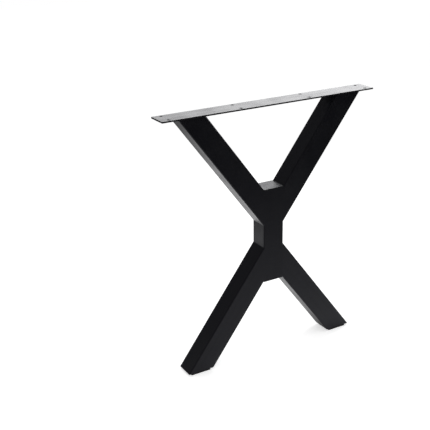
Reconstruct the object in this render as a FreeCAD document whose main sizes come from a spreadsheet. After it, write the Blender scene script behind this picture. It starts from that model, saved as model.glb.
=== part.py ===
import FreeCAD, Part
import math
import os
import Sketcher
from FreeCAD import Placement, Rotation, Vector

# X-shaped table leg, welded from rectangular steel tube and powder coated.
# It stands on its two feet. Millimetres, Z up, X along the mounting plate.
# The origin is on the floor, midway between the feet.

os.makedirs("parts", exist_ok=True)
doc = FreeCAD.newDocument("x_table_leg")

# Driving dimensions
SIZES = {
    "overall_height": 722,
    "plate_end_overhang": 45.5,
    "plate_side_ledge": 2.5,
    "plate_thickness": 4,
    "plate_corner_radius": 2,
    "plate_edge_break": 0.6,
    "hole_diameter": 9,
    "hole_edge_distance": 9,
    "outer_hole_end_distance": 23,
    "inner_hole_spacing": 212,
    "inner_hole_shift": 8,
    "tube_depth": 55,
    "tube_corner_radius": 3,
    "tube_inner_radius": 1,
    "wall": 2,
    "column_width": 63,
    "column_bottom": 222,
    "column_top": 492,
    "arm_width": 62,
    "arm_angle": 53,
    "cap_thickness": 3,
    "pad_thickness": 6,
    "pad_end_inset": 9,
    "pad_side_inset": 3,
    "pad_corner_radius": 3,
    "weld_leg": 4,
    "weld_face_ratio": 1.25,
}

sheet = doc.addObject("Spreadsheet::Sheet", "sizes")
for row, (alias, number) in enumerate(SIZES.items(), start=1):
    sheet.set("A%d" % row, alias)
    sheet.set("B%d" % row, str(number))
    sheet.setAlias("B%d" % row, alias)
doc.recompute()

# Places that several pieces share, worked out from the driving dimensions
COLUMN_SIDE = "sizes.column_width / 2"
PLATE_WIDTH = "(sizes.tube_depth + 2 * sizes.plate_side_ledge)"
PLATE_UNDERSIDE = "(sizes.overall_height - sizes.plate_thickness)"
FOOT_CAP_TOP = "(sizes.pad_thickness + sizes.cap_thickness)"
ARM_ALONG_X = "(sizes.arm_width / sin(sizes.arm_angle))"
ARM_ALONG_Z = "(sizes.arm_width / cos(sizes.arm_angle))"
CORNER_ALONG_Z = "(sizes.tube_corner_radius / cos(sizes.arm_angle))"
PLATE_INNER_X = "(%s + (%s - sizes.column_top) / tan(sizes.arm_angle))" % (COLUMN_SIDE, PLATE_UNDERSIDE)
PLATE_OUTER_X = "(%s + %s)" % (PLATE_INNER_X, ARM_ALONG_X)
PLATE_END_X = "(%s + sizes.plate_end_overhang)" % PLATE_OUTER_X
OUTER_HOLE_X = "(%s - sizes.outer_hole_end_distance)" % PLATE_END_X
FOOT_INNER_X = "(%s + (sizes.column_bottom - sizes.pad_thickness) / tan(sizes.arm_angle))" % COLUMN_SIDE
FOOT_OUTER_X = "(%s + %s)" % (FOOT_INNER_X, ARM_ALONG_X)
WELD_FACE_RADIUS = "(sizes.weld_face_ratio * sizes.weld_leg)"
BEYOND = "(2 * sizes.overall_height)"
BEHIND = "(-2 * sizes.overall_height)"

# The numbers that a sketch gives to the points of a line or an arc, and to its own origin
START, END, CENTRE = 1, 2, 3
ORIGIN = (-1, 1)

FLAT_TOLERANCE = 1e-6

bodies = []


def new_body(name):
    body = doc.addObject("PartDesign::Body", name)
    body.Label = name
    bodies.append(body)
    return body


def origin_plane(body, role):
    return [feature for feature in body.Origin.OriginFeatures if feature.Role == role][0]


def new_sketch(body, name, role, base=None, turn=None):
    """A sketch on an origin plane of its body, moved by the expressions in base and turned about Y."""
    sketch = body.newObject("Sketcher::SketchObject", name)
    sketch.AttachmentSupport = [(origin_plane(body, role), "")]
    sketch.MapMode = "FlatFace"
    if turn:
        sketch.AttachmentOffset = Placement(Vector(0, 0, 0), Rotation(Vector(0, 1, 0), 1))
        sketch.setExpression("AttachmentOffset.Rotation.Angle", turn)
    for axis, expression in (base or {}).items():
        sketch.setExpression("AttachmentOffset.Base." + axis, expression)
    return sketch


def evaluate(sketch, expression):
    return float(sketch.evalExpression(expression))


def dimension(sketch, kind, expression, *references):
    """A driving dimension of a sketch, bound to an expression."""
    index = sketch.addConstraint(Sketcher.Constraint(kind, *references, evaluate(sketch, expression)))
    sketch.setExpression("Constraints[%d]" % index, expression)


def place_point(sketch, geometry, point, x, y):
    dimension(sketch, "DistanceX", x, *ORIGIN, geometry, point)
    dimension(sketch, "DistanceY", y, *ORIGIN, geometry, point)


def join(sketch, geometry, point, other, other_point):
    sketch.addConstraint(Sketcher.Constraint("Coincident", geometry, point, other, other_point))


def straight_outline(sketch, corners):
    """A closed outline of straight lines. Each corner is a pair of expressions."""
    points = [Vector(evaluate(sketch, x), evaluate(sketch, y), 0) for x, y in corners]
    lines = []
    for start, end in zip(points, points[1:] + points[:1]):
        lines.append(sketch.addGeometry(Part.LineSegment(start, end), False))
    for line, following in zip(lines, lines[1:] + lines[:1]):
        join(sketch, line, END, following, START)
    for line, (x, y) in zip(lines, corners):
        place_point(sketch, line, START, x, y)


def rounded_rectangle(sketch, width, depth, radius, centre_x="0"):
    """A rectangle with round corners, its sides parallel to the sketch's axes."""
    half_width = evaluate(sketch, width) / 2
    half_depth = evaluate(sketch, depth) / 2
    corner = evaluate(sketch, radius)
    middle = evaluate(sketch, centre_x)
    signs = [(1, 1), (-1, 1), (-1, -1), (1, -1)]
    arcs = []
    for quarter, (sign_x, sign_y) in enumerate(signs):
        centre = Vector(middle + sign_x * (half_width - corner), sign_y * (half_depth - corner), 0)
        circle = Part.Circle(centre, Vector(0, 0, 1), corner)
        start = quarter * math.pi / 2
        arcs.append(sketch.addGeometry(Part.ArcOfCircle(circle, start, start + math.pi / 2), False))
    for arc, following in zip(arcs, arcs[1:] + arcs[:1]):
        start = sketch.getPoint(arc, END)
        end = sketch.getPoint(following, START)
        side = sketch.addGeometry(Part.LineSegment(start, end), False)
        sketch.addConstraint(Sketcher.Constraint("Tangent", arc, END, side, START))
        sketch.addConstraint(Sketcher.Constraint("Tangent", side, END, following, START))
        level = abs(start.y - end.y) < abs(start.x - end.x)
        sketch.addConstraint(Sketcher.Constraint("Horizontal" if level else "Vertical", side))
    for arc in arcs[1:]:
        sketch.addConstraint(Sketcher.Constraint("Equal", arcs[0], arc))
    first, second, _, fourth = arcs
    dimension(sketch, "Radius", radius, first)
    place_point(sketch, first, CENTRE, "%s / 2 - %s + %s" % (width, radius, centre_x),
                "%s / 2 - %s" % (depth, radius))
    dimension(sketch, "DistanceX", "%s - 2 * %s" % (width, radius), second, CENTRE, first, CENTRE)
    dimension(sketch, "DistanceY", "%s - 2 * %s" % (depth, radius), fourth, CENTRE, first, CENTRE)


def tube_section(sketch, width, hollow):
    """The section of the rectangular tube, or of a cap of its outline."""
    rounded_rectangle(sketch, width, "sizes.tube_depth", "sizes.tube_corner_radius")
    if hollow:
        rounded_rectangle(sketch, "(%s - 2 * sizes.wall)" % width, "(sizes.tube_depth - 2 * sizes.wall)",
                          "sizes.tube_inner_radius")


def pad(body, sketch, name, length, both_ways=False):
    feature = body.newObject("PartDesign::Pad", name)
    feature.Profile = sketch
    feature.SideType = "Symmetric" if both_ways else "One side"
    feature.setExpression("Length", length)
    doc.recompute()
    return feature


def saw_cut(body, name, left, right, bottom, top):
    """Cuts off everything between these limits, as a saw would, over the whole depth."""
    before = body.Shape.Volume
    sketch = new_sketch(body, name + "_outline", "XZ_Plane")
    straight_outline(sketch, [(left, bottom), (right, bottom), (right, top), (left, top)])
    cut = body.newObject("PartDesign::Pocket", name)
    cut.Profile = sketch
    cut.SideType = "Symmetric"
    cut.setExpression("Length", "2 * sizes.tube_depth")
    doc.recompute()
    if not body.Shape.Volume < before:
        raise RuntimeError(body.Label + ": " + name + " cut nothing")


def edges_at_height(feature, height):
    """The names of the edges that lie flat at one height."""
    names = []
    for number, edge in enumerate(feature.Shape.Edges, start=1):
        box = edge.BoundBox
        if abs(box.ZMin - height) < FLAT_TOLERANCE and abs(box.ZMax - height) < FLAT_TOLERANCE:
            names.append("Edge%d" % number)
    return names


# Mounting plate: a flat bar with two rows of four screw holes
def make_mounting_plate():
    body = new_body("mounting_plate")
    outline = new_sketch(body, "bar_outline", "XY_Plane", {"z": PLATE_UNDERSIDE})
    rounded_rectangle(outline, "(2 * %s)" % PLATE_END_X, PLATE_WIDTH, "sizes.plate_corner_radius")
    bar = pad(body, outline, "bar", "sizes.plate_thickness")

    broken = body.newObject("PartDesign::Fillet", "broken_edges")
    top = float(sheet.overall_height)
    underside = top - float(sheet.plate_thickness)
    broken.Base = (bar, edges_at_height(bar, top) + edges_at_height(bar, underside))
    broken.setExpression("Radius", "sizes.plate_edge_break")
    doc.recompute()

    centres = new_sketch(body, "hole_centres", "XY_Plane", {"z": "sizes.overall_height"})
    columns = ["-" + OUTER_HOLE_X,
               "sizes.inner_hole_shift - sizes.inner_hole_spacing / 2",
               "sizes.inner_hole_shift + sizes.inner_hole_spacing / 2",
               OUTER_HOLE_X]
    for side in (-1, 1):
        row = "%d * (%s / 2 - sizes.hole_edge_distance)" % (side, PLATE_WIDTH)
        for along in columns:
            middle = Vector(evaluate(centres, along), evaluate(centres, row), 0)
            radius = float(sheet.hole_diameter) / 2
            circle = centres.addGeometry(Part.Circle(middle, Vector(0, 0, 1), radius), False)
            dimension(centres, "Diameter", "sizes.hole_diameter", circle)
            place_point(centres, circle, CENTRE, along, row)
    doc.recompute()

    before = body.Shape.Volume
    holes = body.newObject("PartDesign::Hole", "screw_holes")
    holes.Profile = centres
    holes.Threaded = False
    holes.DepthType = "ThroughAll"
    holes.setExpression("Diameter", "sizes.hole_diameter")
    doc.recompute()
    if not body.Shape.Volume < before:
        raise RuntimeError("the screw holes cut nothing")


# Column: a short upright tube, closed by a flat cap at each end
def make_column():
    body = new_body("column_tube")
    tube_start = "sizes.column_bottom + sizes.cap_thickness"
    section = new_sketch(body, "column_section", "XY_Plane", {"z": tube_start})
    tube_section(section, "sizes.column_width", True)
    pad(body, section, "column_length", "sizes.column_top - sizes.column_bottom - 2 * sizes.cap_thickness")

    seats = {"column_top_cap": "sizes.column_top - sizes.cap_thickness",
             "column_bottom_cap": "sizes.column_bottom"}
    for name, seat in seats.items():
        cap = new_body(name)
        section = new_sketch(cap, name + "_outline", "XY_Plane", {"z": seat})
        tube_section(section, "sizes.column_width", False)
        pad(cap, section, name + "_sheet", "sizes.cap_thickness")


def slanted_stock(body, side, upper, hollow):
    """A long straight length of tube, or of solid bar of its outline, where an arm lies.

    Its inner edge passes through the column's corner at the side and end that the arm springs from.
    """
    middle_x = "%d * (%s + sizes.arm_width / 2 * sin(sizes.arm_angle))" % (side, COLUMN_SIDE)
    if upper:
        middle_z = "sizes.column_top - sizes.arm_width / 2 * cos(sizes.arm_angle)"
        turn = "%d * (90 - sizes.arm_angle)" % side
    else:
        middle_z = "sizes.column_bottom + sizes.arm_width / 2 * cos(sizes.arm_angle)"
        turn = "%d * (90 + sizes.arm_angle)" % side
    section = new_sketch(body, body.Name + "_section", "XY_Plane", {"x": middle_x, "z": middle_z}, turn)
    tube_section(section, "sizes.arm_width", hollow)
    pad(body, section, body.Name + "_stock", BEYOND, both_ways=True)


# Arms: the same tube, mitred against the column's side and cut level at the other end
def make_arm(name, side, upper):
    body = new_body(name)
    slanted_stock(body, side, upper, hollow=True)
    seat = "%d * %s" % (side, COLUMN_SIDE)
    left, right = (BEHIND, seat) if side > 0 else (seat, BEYOND)
    saw_cut(body, "mitre_on_column", left, right, BEHIND, BEYOND)
    if upper:
        saw_cut(body, "level_under_plate", BEHIND, BEYOND, PLATE_UNDERSIDE, BEYOND)
    else:
        saw_cut(body, "level_on_foot_cap", BEHIND, BEYOND, BEHIND, FOOT_CAP_TOP)


# Foot caps: steel that closes a lower arm, ground flush with its slanted faces
def make_foot_cap(name, side):
    body = new_body(name)
    slanted_stock(body, side, upper=False, hollow=False)
    saw_cut(body, "top_face", BEHIND, BEYOND, FOOT_CAP_TOP, BEYOND)
    saw_cut(body, "bottom_face", BEHIND, BEYOND, BEHIND, "sizes.pad_thickness")


# Foot pads: thin, set in from the edges of the foot cap
def make_foot_pad(name, side):
    body = new_body(name)
    outline = new_sketch(body, name + "_outline", "XY_Plane")
    rounded_rectangle(outline, "(%s - 2 * sizes.pad_end_inset)" % ARM_ALONG_X,
                      "(sizes.tube_depth - 2 * sizes.pad_side_inset)", "sizes.pad_corner_radius",
                      "%d * (%s + %s) / 2" % (side, FOOT_INNER_X, FOOT_OUTER_X))
    pad(body, outline, name + "_sheet", "sizes.pad_thickness")


def weld_section(sketch, root, toe, other_toe, radius, hollow):
    """Two straight sides that meet at the root, closed by a round face from toe to toe.

    The face bulges out, or in towards the root if it is hollow. The points are pairs of expressions.
    """
    a, b, c = [Vector(evaluate(sketch, x), evaluate(sketch, y), 0) for x, y in (root, toe, other_toe)]
    half_chord = b.distanceToPoint(c) / 2
    middle = (b + c) / 2
    reach = evaluate(sketch, radius)
    rise = reach - (reach ** 2 - half_chord ** 2) ** 0.5
    crown = middle + (middle - a).normalize() * (-rise if hollow else rise)
    first = sketch.addGeometry(Part.LineSegment(c, a), False)
    second = sketch.addGeometry(Part.LineSegment(a, b), False)
    face = sketch.addGeometry(Part.Arc(b, crown, c), False)
    starts_at_toe = sketch.getPoint(face, START).distanceToPoint(b) < half_chord
    near, far = (START, END) if starts_at_toe else (END, START)
    join(sketch, first, END, second, START)
    join(sketch, second, END, face, near)
    join(sketch, face, far, first, START)
    place_point(sketch, first, END, *root)
    place_point(sketch, second, END, *toe)
    place_point(sketch, first, START, *other_toe)
    dimension(sketch, "Radius", radius, face)


# Seam welds: weld metal in the groove that the column's round edge leaves beside a mitred arm.
# It is ground flush with the front and back faces, so the middle of the X looks like one piece.
def make_seam_weld(name, side, upper):
    body = new_body(name)
    lowest = "sizes.column_top - " + ARM_ALONG_Z if upper else "sizes.column_bottom"
    groove = new_sketch(body, name + "_groove", "XY_Plane", {"z": lowest + " + " + CORNER_ALONG_Z})
    side_x = "%d * %s" % (side, COLUMN_SIDE)
    face_x = "%d * (%s - sizes.tube_corner_radius)" % (side, COLUMN_SIDE)
    for front in (-1, 1):
        face_y = "%d * sizes.tube_depth / 2" % front
        side_y = "%d * (sizes.tube_depth / 2 - sizes.tube_corner_radius)" % front
        weld_section(groove, (side_x, face_y), (side_x, side_y), (face_x, face_y),
                     "sizes.tube_corner_radius", hollow=True)
    pad(body, groove, name + "_metal", "%s - 2 * %s" % (ARM_ALONG_Z, CORNER_ALONG_Z))


# Plate welds: one fillet bead across the inner face and one across the outer face of an upper arm
def make_plate_welds(name, side):
    body = new_body(name)
    section = new_sketch(body, name + "_section", "XZ_Plane")
    for corner_x, outward in ((PLATE_INNER_X, -1), (PLATE_OUTER_X, 1)):
        root = ("%d * %s" % (side, corner_x), PLATE_UNDERSIDE)
        on_plate = ("%d * (%s + %d * sizes.weld_leg)" % (side, corner_x, outward), PLATE_UNDERSIDE)
        on_arm = ("%d * (%s - sizes.weld_leg * cos(sizes.arm_angle))" % (side, corner_x),
                  "%s - sizes.weld_leg * sin(sizes.arm_angle)" % PLATE_UNDERSIDE)
        weld_section(section, root, on_plate, on_arm, WELD_FACE_RADIUS, hollow=False)
    pad(body, section, name + "_beads", "sizes.tube_depth - 2 * sizes.tube_corner_radius", both_ways=True)


make_mounting_plate()
make_column()
for side_name, side in (("left", -1), ("right", 1)):
    make_arm("upper_%s_arm" % side_name, side, upper=True)
    make_arm("lower_%s_arm" % side_name, side, upper=False)
    make_foot_cap("%s_foot_cap" % side_name, side)
    make_foot_pad("%s_foot_pad" % side_name, side)
    make_seam_weld("upper_%s_seam_weld" % side_name, side, upper=True)
    make_seam_weld("lower_%s_seam_weld" % side_name, side, upper=False)
    make_plate_welds("%s_plate_welds" % side_name, side)
doc.recompute()

# Nothing is written unless every object is sound
for item in doc.Objects:
    if "Invalid" in item.State or "Error" in item.State:
        raise RuntimeError(item.Label + " failed: " + ", ".join(item.State))
for body in bodies:
    if body.Shape.isNull() or not body.Shape.isValid():
        raise RuntimeError(body.Label + " has no valid shape")

for body in bodies:
    body.Shape.exportStep("parts/%s.step" % body.Label)
    print(body.Label, len(body.Shape.Solids), "solids", round(body.Shape.Volume), "cubic mm")
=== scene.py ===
import math

import bmesh
import bpy
from mathutils import Matrix, Vector


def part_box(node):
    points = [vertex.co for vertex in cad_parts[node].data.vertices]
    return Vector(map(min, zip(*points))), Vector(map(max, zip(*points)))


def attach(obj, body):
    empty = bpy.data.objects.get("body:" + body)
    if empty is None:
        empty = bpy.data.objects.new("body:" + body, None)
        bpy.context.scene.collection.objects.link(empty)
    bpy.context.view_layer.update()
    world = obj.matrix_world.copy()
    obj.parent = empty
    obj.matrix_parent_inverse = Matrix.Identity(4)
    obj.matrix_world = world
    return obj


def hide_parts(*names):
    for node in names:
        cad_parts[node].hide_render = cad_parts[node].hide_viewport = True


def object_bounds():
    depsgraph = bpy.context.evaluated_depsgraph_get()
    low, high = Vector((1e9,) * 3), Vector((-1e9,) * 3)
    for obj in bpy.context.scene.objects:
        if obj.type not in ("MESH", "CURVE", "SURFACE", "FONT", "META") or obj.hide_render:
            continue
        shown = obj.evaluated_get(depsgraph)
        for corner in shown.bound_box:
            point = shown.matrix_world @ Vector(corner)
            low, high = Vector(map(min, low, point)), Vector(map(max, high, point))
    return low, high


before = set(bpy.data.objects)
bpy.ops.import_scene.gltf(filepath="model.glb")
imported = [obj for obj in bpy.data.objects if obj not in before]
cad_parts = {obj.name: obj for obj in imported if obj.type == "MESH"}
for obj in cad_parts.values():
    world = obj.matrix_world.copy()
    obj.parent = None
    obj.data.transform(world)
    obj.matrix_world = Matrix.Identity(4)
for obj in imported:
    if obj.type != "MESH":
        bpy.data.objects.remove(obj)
cad_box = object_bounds()

# The picture that the camera is matched to, in pixels, and the camera's sensor, in millimetres
PICTURE_SIZE = 430
SENSOR_WIDTH = 36.0

# Where the camera stands, from the photograph's perspective. Angles are in degrees, lengths in metres.
CAMERA_TURN = 29.87
CAMERA_TILT = 20.21
CAMERA_ROLL = -1.035
CAMERA_DISTANCE = 2.2453
CAMERA_SIDESTEP = -0.1456
CAMERA_LIFT = 0.0961
FOCAL_LENGTH_PIXELS = 818.6
AXIS_ROW_PIXEL = 195.0

# How many degrees the arms lean up from the floor
ARM_LEAN = 53.0

# The powder coat. Colours are linear. Shares say how far an effect takes the coat towards its worn colour.
COAT_BLACK = (0.0028, 0.0028, 0.0052, 1)
COAT_WORN_BLACK = (0.0074, 0.0074, 0.0098, 1)
COAT_SHEEN = (0.92, 0.92, 1.0, 1)
COAT_IOR = 1.5
DUST_SHARE = 0.35
SPECK_SHARE = 0.15
LINE_RELIEF = 0.3
GRAIN_DEPTH = 0.0004

# Between which values of its noise each effect goes from none to full
GLOSS_RANGE = (0.3, 0.7)
SPECK_RANGE = (0.56, 0.74)
LINE_RANGE = (0.36, 0.66)
DUST_RANGE = (0.35, 0.75)

# The rubber of the foot pads
PAD_BLACK = (0.010, 0.010, 0.010, 1)
PAD_DUSTY = (0.022, 0.021, 0.020, 1)
PAD_ROUGHNESS = (0.72, 0.9)
PAD_BUMP = 0.5


def node_input(socket, value):
    """Sets a socket to a number or a colour, or links it to another node's output."""
    if isinstance(value, bpy.types.NodeSocket):
        socket.id_data.links.new(value, socket)
    else:
        socket.default_value = value


def add_node(tree, kind, inputs=None, **settings):
    """A new node with these values or links on its inputs."""
    node = tree.nodes.new(kind)
    for name, value in settings.items():
        setattr(node, name, value)
    for name, value in (inputs or {}).items():
        node_input(node.inputs[name], value)
    return node


def calculate(tree, operation, *values, clamp=False):
    """One step of arithmetic on numbers."""
    node = add_node(tree, "ShaderNodeMath", dict(enumerate(values)), operation=operation, use_clamp=clamp)
    return node.outputs[0]


def remap(tree, value, low, high, to_low=0.0, to_high=1.0):
    """Maps the range from low to high onto another, and stops at its ends."""
    names = {"Value": value, "From Min": low, "From Max": high, "To Min": to_low, "To Max": to_high}
    return add_node(tree, "ShaderNodeMapRange", names, clamp=True).outputs["Result"]


def noise(tree, place, scale, detail, roughness=0.5):
    values = {"Vector": place, "Scale": scale, "Detail": detail, "Roughness": roughness}
    return add_node(tree, "ShaderNodeTexNoise", values).outputs["Fac"]


def combine(tree, x=0.0, y=0.0, z=0.0):
    """A vector of three numbers."""
    return add_node(tree, "ShaderNodeCombineXYZ", {"X": x, "Y": y, "Z": z}).outputs[0]


def vector_step(tree, operation, first, second):
    """One step of arithmetic on two vectors."""
    return add_node(tree, "ShaderNodeVectorMath", {0: first, 1: second}, operation=operation)


def add_object(name, data):
    """A new object in the scene."""
    made = bpy.data.objects.new(name, data)
    bpy.context.collection.objects.link(made)
    return made


def group_with(name, inputs, outputs):
    """A new shader group with number inputs, a Vector input called Place, and number outputs."""
    group = bpy.data.node_groups.new(name, "ShaderNodeTree")
    group.interface.new_socket("Place", in_out="INPUT", socket_type="NodeSocketVector")
    for label, value in inputs.items():
        socket = group.interface.new_socket(label, in_out="INPUT", socket_type="NodeSocketFloat")
        socket.default_value = value
    for label in outputs:
        group.interface.new_socket(label, in_out="OUTPUT", socket_type="NodeSocketFloat")
    return group, group.nodes.new("NodeGroupInput").outputs, group.nodes.new("NodeGroupOutput").inputs


def coat_grain_group():
    """The skin of a baked powder coat: a fine grain, a slow orange peel and a slow change of gloss."""
    group, given, made = group_with(
        "coat grain",
        {"Grain Scale": 1100.0, "Peel Scale": 210.0, "Peel Share": 1.2, "Gloss Scale": 14.0},
        ["Height", "Gloss", "Speck"])
    grain = noise(group, given["Place"], given["Grain Scale"], detail=3.0, roughness=0.65)
    peel = noise(group, given["Place"], given["Peel Scale"], detail=1.0)
    weighted_peel = calculate(group, "MULTIPLY", peel, given["Peel Share"])
    node_input(made["Height"], calculate(group, "ADD", grain, weighted_peel))
    slow = noise(group, given["Place"], given["Gloss Scale"], detail=4.0, roughness=0.6)
    node_input(made["Gloss"], remap(group, slow, *GLOSS_RANGE))
    node_input(made["Speck"], remap(group, grain, *SPECK_RANGE))
    return group


def drawn_lines_group():
    """Faint lines along the steel under the coat, left by rolling. They run along X of Place."""
    group, given, made = group_with("drawn lines", {"Line Scale": 90.0, "Stretch": 40.0}, ["Lines"])
    parts = add_node(group, "ShaderNodeSeparateXYZ", {0: given["Place"]}).outputs
    along = calculate(group, "DIVIDE", parts["X"], given["Stretch"])
    squeezed = combine(group, along, parts["Y"], parts["Z"])
    lines = noise(group, squeezed, given["Line Scale"], detail=5.0, roughness=0.7)
    node_input(made["Lines"], remap(group, lines, *LINE_RANGE))
    return group


def settled_dust_group():
    """A thin film of dust on faces that look up, in soft patches."""
    group, given, made = group_with("settled dust", {"Patch Scale": 18.0, "Steepest": 0.6}, ["Dust"])
    normal = add_node(group, "ShaderNodeNewGeometry").outputs["Normal"]
    up = add_node(group, "ShaderNodeSeparateXYZ", {0: normal}).outputs["Z"]
    facing = remap(group, up, given["Steepest"], 1.0)
    patches = noise(group, given["Place"], given["Patch Scale"], detail=6.0, roughness=0.7)
    node_input(made["Dust"], calculate(group, "MULTIPLY", facing, remap(group, patches, *DUST_RANGE)))
    return group


GRAIN = coat_grain_group()
LINES = drawn_lines_group()
DUST = settled_dust_group()


def place_group(tree, group, place, **values):
    """Puts a shader group in a material, with this material's own values on its named inputs."""
    node = add_node(tree, "ShaderNodeGroup", node_tree=group)
    node_input(node.inputs["Place"], place)
    for name, value in values.items():
        node_input(node.inputs[name.replace("_", " ")], value)
    return node.outputs


def new_material(name):
    material = bpy.data.materials.new(name)
    material.use_nodes = True
    tree = material.node_tree
    shader = tree.nodes["Principled BSDF"]
    return material, tree, shader


def mix_number(tree, share, first, second):
    """A number between two others. The sockets 0, 2 and 3 take the share and the numbers."""
    node = add_node(tree, "ShaderNodeMix", {0: share, 2: first, 3: second}, data_type="FLOAT")
    return node.outputs[0]


def mix_colour(tree, share, first, second):
    """A colour between two others. The sockets 0, 6 and 7 take the share and the colours."""
    node = add_node(tree, "ShaderNodeMix", {0: share, 6: first, 7: second}, data_type="RGBA")
    return node.outputs[2]


def powder_coat(name, lean, line_share=0.25, roughness=(0.32, 0.46), bump=0.3):
    """Black satin powder coat on steel whose rolling direction leans up from X by this angle."""
    material, tree, shader = new_material(name)
    place = add_node(tree, "ShaderNodeTexCoord").outputs["Object"]
    turn = (0, math.radians(lean), 0)
    along = add_node(tree, "ShaderNodeMapping", {"Vector": place, "Rotation": turn}).outputs[0]
    grain = place_group(tree, GRAIN, along)
    lines = place_group(tree, LINES, along)["Lines"]
    dust = place_group(tree, DUST, place)["Dust"]

    worn = calculate(tree, "MULTIPLY", lines, line_share)
    film = calculate(tree, "MULTIPLY", dust, DUST_SHARE)
    lightened = calculate(tree, "ADD", worn, film, clamp=True)
    speckled = calculate(tree, "MULTIPLY_ADD", grain["Speck"], SPECK_SHARE, lightened, clamp=True)
    node_input(shader.inputs["Base Color"], mix_colour(tree, speckled, COAT_BLACK, COAT_WORN_BLACK))

    low, high = roughness
    gloss = calculate(tree, "MULTIPLY_ADD", lines, -line_share, grain["Gloss"])
    node_input(shader.inputs["Roughness"], remap(tree, gloss, 0.0, 1.0, low, high))
    shader.inputs["IOR"].default_value = COAT_IOR
    shader.inputs["Specular Tint"].default_value = COAT_SHEEN

    relief = calculate(tree, "MULTIPLY_ADD", lines, LINE_RELIEF, grain["Height"])
    bumped = add_node(tree, "ShaderNodeBump", {"Strength": bump, "Distance": GRAIN_DEPTH, "Height": relief})
    node_input(shader.inputs["Normal"], bumped.outputs["Normal"])
    return material


def pad_rubber():
    """Matt black rubber with a fine open texture, a little dusty."""
    material, tree, shader = new_material("foot pad rubber")
    place = add_node(tree, "ShaderNodeTexCoord").outputs["Object"]
    grain = place_group(tree, GRAIN, place, Grain_Scale=2600.0, Peel_Scale=700.0, Peel_Share=0.8,
                        Gloss_Scale=60.0)
    node_input(shader.inputs["Base Color"], mix_colour(tree, grain["Speck"], PAD_BLACK, PAD_DUSTY))
    node_input(shader.inputs["Roughness"], remap(tree, grain["Gloss"], 0.0, 1.0, *PAD_ROUGHNESS))
    bumped = add_node(tree, "ShaderNodeBump",
                      {"Strength": PAD_BUMP, "Distance": GRAIN_DEPTH, "Height": grain["Height"]})
    node_input(shader.inputs["Normal"], bumped.outputs["Normal"])
    return material


# The lean of each tube gives the direction of its lines
COATS = {
    "mounting_plate": powder_coat("coat on the plate", 0.0, line_share=0.75, roughness=(0.36, 0.46),
                                  bump=0.012),
    "column": powder_coat("coat on the column", 90.0),
    "crotch": powder_coat("coat in the crotch of the arms", 0.0, roughness=(0.46, 0.56)),
    "right": powder_coat("coat on arms that lean right", ARM_LEAN, line_share=0.5),
    "left": powder_coat("coat on arms that lean left", -ARM_LEAN, line_share=0.6),
    "weld": powder_coat("coat on weld metal", 0.0, line_share=0.0, roughness=(0.28, 0.42), bump=0.35),
}
NODE_COATS = {
    "mounting_plate": "mounting_plate",
    "column_tube": "column",
    "column_top_cap": "crotch",
    "column_bottom_cap": "crotch",
    "upper_left_seam_weld": "column",
    "upper_right_seam_weld": "column",
    "lower_left_seam_weld": "column",
    "lower_right_seam_weld": "column",
    "upper_right_arm": "right",
    "lower_left_arm": "right",
    "left_foot_cap": "right",
    "upper_left_arm": "left",
    "lower_right_arm": "left",
    "right_foot_cap": "left",
}
PAD_RUBBER = pad_rubber()


def dress(node, material):
    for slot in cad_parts[node].material_slots:
        slot.material = material


for node, coat in NODE_COATS.items():
    dress(node, COATS[coat])
for node in ("left_foot_pad", "right_foot_pad"):
    dress(node, PAD_RUBBER)


# The welds under the plate: one bead across the inner face and one across the outer face of each upper arm.
# The depth of a ripple is a share of the bead's size, and the faintest ripple a share of that depth.
BEAD_FACE_RADIUS = 0.005
BEAD_RIPPLE_PITCH = 0.0017
BEAD_RIPPLE_DEPTH = 0.075
BEAD_RIPPLE_BOW = 0.0011
BEAD_FAINTEST_RIPPLE = 0.55
BEAD_END_LENGTH = 0.0028
BEAD_END_SIZE = 0.6
BEAD_FACE_POINTS = 12
BEAD_STEPS_PER_RIPPLE = 8

# The inputs that both beads of an arm share, and their kinds
BEAD_SHARED = {"Length": "Float", "Leg": "Float", "Face Radius": "Float", "Pitch": "Float", "Depth": "Float",
               "Bow": "Float", "End Length": "Float"}


def geometry_tree(name, inputs):
    """A new geometry tree whose named inputs are given as kinds of socket."""
    tree = bpy.data.node_groups.new(name, "GeometryNodeTree")
    for label, kind in inputs.items():
        tree.interface.new_socket(label, in_out="INPUT", socket_type="NodeSocket" + kind)
    tree.interface.new_socket("Geometry", in_out="OUTPUT", socket_type="NodeSocketGeometry")
    return tree, tree.nodes.new("NodeGroupInput").outputs, tree.nodes.new("NodeGroupOutput").inputs


def capture(tree, geometry, name, value):
    """Keeps a number on the points of some geometry, for later steps to read."""
    node = add_node(tree, "GeometryNodeCaptureAttribute", {"Geometry": geometry})
    node.capture_items.new("FLOAT", name)
    node_input(node.inputs[name], value)
    return node.outputs["Geometry"], node.outputs[name]


def polar(tree, radius, angle):
    """A point in the plane of a bead's section. X is level and Y is down."""
    x = calculate(tree, "MULTIPLY", radius, calculate(tree, "COSINE", angle))
    y = calculate(tree, "MULTIPLY", radius, calculate(tree, "SINE", angle))
    return combine(tree, x, y)


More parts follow.
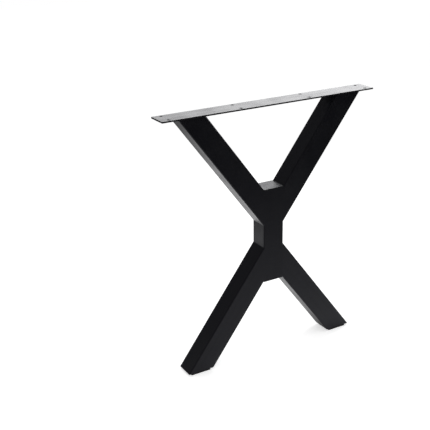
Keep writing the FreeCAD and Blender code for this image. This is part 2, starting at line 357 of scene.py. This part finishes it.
def bead_section(tree, given):
    """The section of a fillet: a round face from toe to toe, and the root in the corner as its last point."""
    count = {"Resolution": BEAD_FACE_POINTS + 1}
    circle = add_node(tree, "GeometryNodeCurvePrimitiveCircle", count).outputs["Curve"]
    index = add_node(tree, "GeometryNodeInputIndex").outputs[0]
    across = calculate(tree, "DIVIDE", index, BEAD_FACE_POINTS - 1)
    circle, across = capture(tree, circle, "Across", across)

    half_opening = calculate(tree, "MULTIPLY", given["Opening"], 0.5)
    half_chord = calculate(tree, "MULTIPLY", given["Leg"], calculate(tree, "SINE", half_opening))
    to_chord = calculate(tree, "MULTIPLY", given["Leg"], calculate(tree, "COSINE", half_opening))
    half_sweep = calculate(tree, "ARCSINE", calculate(tree, "DIVIDE", half_chord, given["Face Radius"]))
    to_middle = calculate(tree, "MULTIPLY", given["Face Radius"], calculate(tree, "COSINE", half_sweep))
    centre = polar(tree, calculate(tree, "SUBTRACT", to_chord, to_middle), given["Facing"])
    turn = calculate(tree, "MULTIPLY", calculate(tree, "MULTIPLY_ADD", across, 2.0, -1.0), half_sweep)
    spoke = polar(tree, given["Face Radius"], calculate(tree, "ADD", given["Facing"], turn))
    on_face = vector_step(tree, "ADD", centre, spoke).outputs[0]

    is_root = calculate(tree, "COMPARE", index, BEAD_FACE_POINTS, 0.5)
    place = add_node(tree, "GeometryNodeSwitch", input_type="VECTOR")
    node_input(place.inputs["Switch"], is_root)
    node_input(place.inputs["False"], on_face)
    section = add_node(tree, "GeometryNodeSetPosition", {"Geometry": circle, "Position": place.outputs[0]})
    return section.outputs[0], across


def bead_tree():
    """One weld bead along Y: a fillet that is laid down in small bowed ripples and thins at both ends."""
    own = {"Root": "Vector", "Facing": "Float", "Opening": "Float"}
    tree, given, made = geometry_tree("weld bead", {**own, **BEAD_SHARED, "Seed": "Int"})
    start = combine(tree, y=calculate(tree, "MULTIPLY", given["Length"], -0.5))
    end = combine(tree, y=calculate(tree, "MULTIPLY", given["Length"], 0.5))
    line = add_node(tree, "GeometryNodeCurvePrimitiveLine", {"Start": start, "End": end}).outputs[0]
    ripples = calculate(tree, "DIVIDE", given["Length"], given["Pitch"])
    steps = calculate(tree, "MULTIPLY", ripples, BEAD_STEPS_PER_RIPPLE)
    line = add_node(tree, "GeometryNodeResampleCurve", {"Curve": line, "Count": steps}).outputs[0]
    length_so_far = add_node(tree, "GeometryNodeSplineParameter").outputs["Length"]
    line, along = capture(tree, line, "Along", length_so_far)
    section, across = bead_section(tree, given)
    swept = add_node(tree, "GeometryNodeCurveToMesh",
                     {"Curve": line, "Profile Curve": section, "Fill Caps": True}).outputs[0]

    off_middle = calculate(tree, "MULTIPLY_ADD", across, 2.0, -1.0)
    bow = calculate(tree, "MULTIPLY", calculate(tree, "MULTIPLY", off_middle, off_middle), given["Bow"])
    laid = calculate(tree, "DIVIDE", calculate(tree, "ADD", along, bow), given["Pitch"])
    crest = calculate(tree, "SINE", calculate(tree, "MULTIPLY", calculate(tree, "FRACT", laid), math.pi))
    which_ripple = calculate(tree, "FLOOR", laid)
    uneven = add_node(tree, "FunctionNodeRandomValue",
                      {2: BEAD_FAINTEST_RIPPLE, 3: 1.0, "ID": which_ripple, "Seed": given["Seed"]},
                      data_type="FLOAT")
    sunk = calculate(tree, "MULTIPLY", calculate(tree, "SUBTRACT", 1.0, crest), given["Depth"])
    sunk = calculate(tree, "MULTIPLY", sunk, uneven.outputs[1])

    to_end = calculate(tree, "SUBTRACT", given["Length"], along)
    nearest_end = calculate(tree, "MINIMUM", along, to_end)
    fullness = add_node(tree, "ShaderNodeMapRange",
                        {"Value": nearest_end, "From Max": given["End Length"], "To Min": BEAD_END_SIZE},
                        interpolation_type="SMOOTHERSTEP").outputs["Result"]
    share = calculate(tree, "MULTIPLY", fullness, calculate(tree, "SUBTRACT", 1.0, sunk))
    place = add_node(tree, "GeometryNodeInputPosition").outputs[0]
    rippled = vector_step(tree, "MULTIPLY", place, combine(tree, share, 1.0, share)).outputs[0]
    moved = vector_step(tree, "ADD", rippled, given["Root"]).outputs[0]
    shaped = add_node(tree, "GeometryNodeSetPosition", {"Geometry": swept, "Position": moved}).outputs[0]
    node_input(made["Geometry"], shaped)
    return tree


def arm_beads_tree(bead):
    """Both beads of one upper arm, as one mesh."""
    own = {}
    for which in ("Inner", "Outer"):
        own.update({which + " Root": "Vector", which + " Facing": "Float", which + " Opening": "Float"})
    tree, given, made = geometry_tree(
        "beads of one arm", {**own, **BEAD_SHARED, "Seed": "Int", "Material": "Material"})
    both = add_node(tree, "GeometryNodeJoinGeometry").inputs[0]
    for number, which in enumerate(("Inner", "Outer")):
        node = add_node(tree, "GeometryNodeGroup", node_tree=bead)
        for label in ("Root", "Facing", "Opening"):
            node_input(node.inputs[label], given[which + " " + label])
        for label in BEAD_SHARED:
            node_input(node.inputs[label], given[label])
        node_input(node.inputs["Seed"], calculate(tree, "ADD", given["Seed"], number))
        node_input(both, node.outputs["Geometry"])
    joined = both.node.outputs[0]
    smooth = add_node(tree, "GeometryNodeSetShadeSmooth", {"Geometry": joined}).outputs[0]
    real = add_node(tree, "GeometryNodeRealizeInstances", {"Geometry": smooth}).outputs[0]
    painted = add_node(tree, "GeometryNodeSetMaterial", {"Geometry": real, "Material": given["Material"]})
    node_input(made["Geometry"], painted.outputs[0])
    return tree


def run_tree(tree, name, values):
    """Makes a plain object of what a geometry tree gives for these values of its named inputs."""
    host = add_object(name + "_host", bpy.data.meshes.new(name + "_host"))
    modifier = host.modifiers.new("shape", "NODES")
    modifier.node_group = tree
    sockets = {item.name: item.identifier for item in tree.interface.items_tree if item.in_out == "INPUT"}
    for label, value in values.items():
        modifier[sockets[label]] = value
    evaluated = host.evaluated_get(bpy.context.evaluated_depsgraph_get())
    mesh = bpy.data.meshes.new_from_object(evaluated)
    host.modifiers.remove(modifier)
    bpy.data.objects.remove(host)
    return add_object(name, mesh)


def make_plate_beads(tree, side_name, side, seed):
    """The two beads of one upper arm, in the corners that the arm makes with the plate. Side is 1 or -1."""
    node = side_name + "_plate_welds"
    lowest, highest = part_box(node)
    arm_lowest, arm_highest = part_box("upper_%s_arm" % side_name)
    lean = math.radians(ARM_LEAN)
    underside = highest[2]
    column_side = min(abs(arm_lowest[0]), abs(arm_highest[0]))
    outer_x = max(abs(arm_lowest[0]), abs(arm_highest[0]))
    leg = max(abs(lowest[0]), abs(highest[0])) - outer_x
    inner_x = column_side + (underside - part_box("column_top_cap")[1][2]) / math.tan(lean)
    down_the_arm = math.pi - lean if side > 0 else lean
    inwards, outwards = (math.pi, 0.0) if side > 0 else (0.0, math.pi)
    piece = run_tree(tree, side_name + "_plate_weld_beads", {
        "Inner Root": (side * inner_x, 0.0, underside), "Inner Facing": (down_the_arm + inwards) / 2,
        "Inner Opening": lean,
        "Outer Root": (side * outer_x, 0.0, underside), "Outer Facing": (down_the_arm + outwards) / 2,
        "Outer Opening": math.pi - lean,
        "Length": highest[1] - lowest[1], "Leg": leg,
        "Face Radius": BEAD_FACE_RADIUS, "Pitch": BEAD_RIPPLE_PITCH, "Depth": BEAD_RIPPLE_DEPTH,
        "Bow": BEAD_RIPPLE_BOW, "End Length": BEAD_END_LENGTH, "Seed": seed, "Material": COATS["weld"]})
    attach(piece, "root")
    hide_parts(node)


ARM_BEADS = arm_beads_tree(bead_tree())
make_plate_beads(ARM_BEADS, "left", -1, seed=3)
make_plate_beads(ARM_BEADS, "right", 1, seed=11)


# A seam weld's metal stops where the round edges of its arm begin. From there it runs out on those edges.
# Edges of its ends are shaded smooth up to the sharpest angle.
WELD_END_STEPS = 16
WELD_END_ARC_STEPS = 6
WELD_END_SHARPEST = math.radians(30)


def weld_end_sections(radius):
    """The sections of a weld's end, each as a pair of its distance along the end and its points.

    The distance is a share of the end's length. A section fills the corner between the round edge of the
    column, whose middle is the origin, and the edge of the arm, which turns away.
    """
    sections = []
    for step in range(WELD_END_STEPS):
        turned = math.pi / 2 * step / WELD_END_STEPS
        reach = radius * math.cos(turned)
        sweep = 2 * math.atan2(reach, radius)
        angles = [sweep * (1 - number / WELD_END_ARC_STEPS) for number in range(WELD_END_ARC_STEPS + 1)]
        on_column = [(radius * math.cos(angle), radius * math.sin(angle)) for angle in angles]
        sections.append((math.sin(turned), [(radius, reach)] + on_column))
    return sections


def join_rings(shape, rings, tip):
    """Adds the faces of a solid that goes through these rings of points and closes in a tip."""
    shape.faces.new(rings[0])
    for ring, next_ring in zip(rings, rings[1:]):
        for number in range(len(ring)):
            shape.faces.new((ring[number - 1], ring[number], next_ring[number], next_ring[number - 1]))
    for number in range(len(rings[-1])):
        shape.faces.new((rings[-1][number - 1], rings[-1][number], tip))


def make_weld_ends(node):
    """Both ends of a seam weld, at the front and at the back."""
    lowest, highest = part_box(node)
    radius = highest[0] - lowest[0]
    side = 1 if highest[0] > 0 else -1
    middle_x = max(abs(lowest[0]), abs(highest[0])) - radius
    middle_y = highest[1] - radius
    length = radius / math.cos(math.radians(ARM_LEAN))
    shape = bmesh.new()
    for front in (-1, 1):
        for start, run in ((lowest[2], -length), (highest[2], length)):
            rings = []
            for share, section in weld_end_sections(radius):
                level = start + run * share
                rings.append([shape.verts.new((side * (middle_x + x), front * (middle_y + y), level))
                              for x, y in section])
            tip = shape.verts.new((side * (middle_x + radius), front * middle_y, start + run))
            join_rings(shape, rings, tip)
    bmesh.ops.recalc_face_normals(shape, faces=shape.faces)
    for face in shape.faces:
        face.smooth = True
    mesh = bpy.data.meshes.new(node + "_ends")
    shape.to_mesh(mesh)
    shape.free()
    mesh.set_sharp_from_angle(angle=WELD_END_SHARPEST)
    mesh.materials.append(COATS["column"])
    piece = add_object(node + "_ends", mesh)
    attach(piece, "root")


for arms in ("upper", "lower"):
    for side_name in ("left", "right"):
        make_weld_ends("%s_%s_seam_weld" % (arms, side_name))


def for_each_ray(tree, lights, mirrored, seen):
    """A number for rays that carry light, another for rays that mirror, and another for the camera's own."""
    path = add_node(tree, "ShaderNodeLightPath").outputs
    from_gloss = calculate(tree, "MAXIMUM", path["Is Glossy Ray"], path["Is Transmission Ray"])
    unseen = mix_number(tree, from_gloss, lights, mirrored)
    return mix_number(tree, path["Is Camera Ray"], unseen, seen)


def distance_from(tree, place, centre):
    return vector_step(tree, "DISTANCE", place, centre).outputs["Value"]


# The floor is white around the leg and dark further out. To the camera it is brighter, and a glow of its own
# keeps it white all over, apart from the shadow of the feet.
FLOOR_HALF_WIDTH = 8.0
FLOOR_SEEN_WHITE = 0.86
FLOOR_UNSEEN_WHITE = 0.585
FLOOR_DARK = (0.04, 0.04, 0.04, 1)
SHEET_CENTRE = (0.06, 0.22, 0.0)
SHEET_RADIUS = 0.6
SHEET_END = 1.6
GLOW_RADIUS = 0.5
GLOW_END = 1.3
GLOW_NEAR = 0.55
GLOW_FAR = 1.0

# The faces of the leg mirror a painted glow on the floor behind it, which only reflections see. Close to the
# right foot the glow is cut away, which is a painted shadow of the foot in those reflections.
MIRRORED_CENTRE = (0.15, 0.52, 0.0)
MIRRORED_RADIUS = 0.22
MIRRORED_END = 0.72
MIRRORED_PAINTED_GLOW = 0.88
RIGHT_FOOT = (0.233, 0.0, 0.0)
PAINTED_FOOT_SHADOW_RADIUS = 0.02
PAINTED_FOOT_SHADOW_END = 0.12


def make_floor():
    mesh = bpy.data.meshes.new("floor")
    far = FLOOR_HALF_WIDTH
    mesh.from_pydata([(-far, -far, 0), (far, -far, 0), (far, far, 0), (-far, far, 0)], [], [(0, 1, 2, 3)])
    floor = add_object("floor", mesh)
    material, tree, shader = new_material("pale floor")
    shader.inputs["Roughness"].default_value = 1.0
    shader.inputs["Specular IOR Level"].default_value = 0.0
    shader.inputs["Emission Color"].default_value = (1, 1, 1, 1)
    place = add_node(tree, "ShaderNodeTexCoord").outputs["Object"]
    from_middle = distance_from(tree, place, SHEET_CENTRE)
    outside = remap(tree, from_middle, SHEET_RADIUS, SHEET_END)
    white = for_each_ray(tree, FLOOR_UNSEEN_WHITE, FLOOR_UNSEEN_WHITE, FLOOR_SEEN_WHITE)
    node_input(shader.inputs["Base Color"], mix_colour(tree, outside, white, FLOOR_DARK))
    seen = remap(tree, from_middle, GLOW_RADIUS, GLOW_END, GLOW_NEAR, GLOW_FAR)
    # Painted glow on the floor for reflections only, with a painted shadow of the right foot cut out of it
    mirrored = remap(tree, distance_from(tree, place, MIRRORED_CENTRE), MIRRORED_RADIUS, MIRRORED_END,
                     MIRRORED_PAINTED_GLOW, 0.0)
    clear_of_painted_foot_shadow = remap(tree, distance_from(tree, place, RIGHT_FOOT), PAINTED_FOOT_SHADOW_RADIUS, PAINTED_FOOT_SHADOW_END)
    mirrored = calculate(tree, "MULTIPLY", mirrored, clear_of_painted_foot_shadow)
    node_input(shader.inputs["Emission Strength"], for_each_ray(tree, 0.0, mirrored, seen))
    mesh.materials.append(material)


# The studio is white to the camera and gives an even light. The leg mirrors it as dim, apart from a broad
# white screen behind the leg on the right. The screen is full white where the cosine of the angle from its
# middle is above the core, and fades out at the rim.
STUDIO_FILL = 0.72
STUDIO_DIM = 0.09
SCREEN_WHITE = 3.65
SCREEN_DIRECTION = Vector((0.88, 0.45, 0.26)).normalized()
SCREEN_RIM = 0.6
SCREEN_CORE = 0.9


def make_world():
    world = bpy.data.worlds.new("studio")
    world.use_nodes = True
    bpy.context.scene.world = world
    tree = world.node_tree
    background = tree.nodes["Background"]
    background.inputs["Color"].default_value = (1, 1, 1, 1)
    direction = add_node(tree, "ShaderNodeTexCoord").outputs["Generated"]
    towards = vector_step(tree, "DOT_PRODUCT", direction, SCREEN_DIRECTION).outputs["Value"]
    screen = remap(tree, towards, SCREEN_RIM, SCREEN_CORE, STUDIO_DIM, SCREEN_WHITE)
    node_input(background.inputs["Strength"], for_each_ray(tree, STUDIO_FILL, screen, 1.0))


# A softbox behind the leg on the right, which gives the feet their shadow on the left
SOFTBOX_PLACE = Vector((1.5, 0.7, 1.5))
SOFTBOX_TARGET = Vector((0, 0, 0.1))
SOFTBOX_WIDTH = 0.8
SOFTBOX_WATTS = 8


def make_softbox():
    light = bpy.data.lights.new("side softbox", "AREA")
    light.size = SOFTBOX_WIDTH
    light.energy = SOFTBOX_WATTS
    lamp = add_object("side softbox", light)
    lamp.location = SOFTBOX_PLACE
    lamp.rotation_euler = (SOFTBOX_TARGET - SOFTBOX_PLACE).to_track_quat("-Z", "Y").to_euler()
    lamp.visible_camera = False


def make_camera():
    turn, tilt, roll = [math.radians(angle) for angle in (CAMERA_TURN, CAMERA_TILT, CAMERA_ROLL)]
    forward = Vector((math.sin(turn) * math.cos(tilt), math.cos(turn) * math.cos(tilt), -math.sin(tilt)))
    level_right = forward.cross(Vector((0, 0, 1))).normalized()
    level_up = level_right.cross(forward)
    right = math.cos(roll) * level_right + math.sin(roll) * level_up
    up = math.cos(roll) * level_up - math.sin(roll) * level_right
    lowest, highest = cad_box
    middle = Vector((0, 0, (lowest.z + highest.z) / 2))
    eye = middle - forward * CAMERA_DISTANCE + right * CAMERA_SIDESTEP + up * CAMERA_LIFT

    data = bpy.data.cameras.new("camera")
    data.sensor_width = SENSOR_WIDTH
    data.lens = FOCAL_LENGTH_PIXELS / PICTURE_SIZE * SENSOR_WIDTH
    data.shift_y = (AXIS_ROW_PIXEL - PICTURE_SIZE / 2) / PICTURE_SIZE
    camera = add_object("camera", data)
    axes = Matrix((right, up, -forward)).transposed().to_4x4()
    camera.matrix_world = Matrix.Translation(eye) @ axes
    bpy.context.scene.camera = camera


make_floor()
make_world()
make_softbox()
make_camera()
bpy.context.scene.view_settings.view_transform = "Standard"
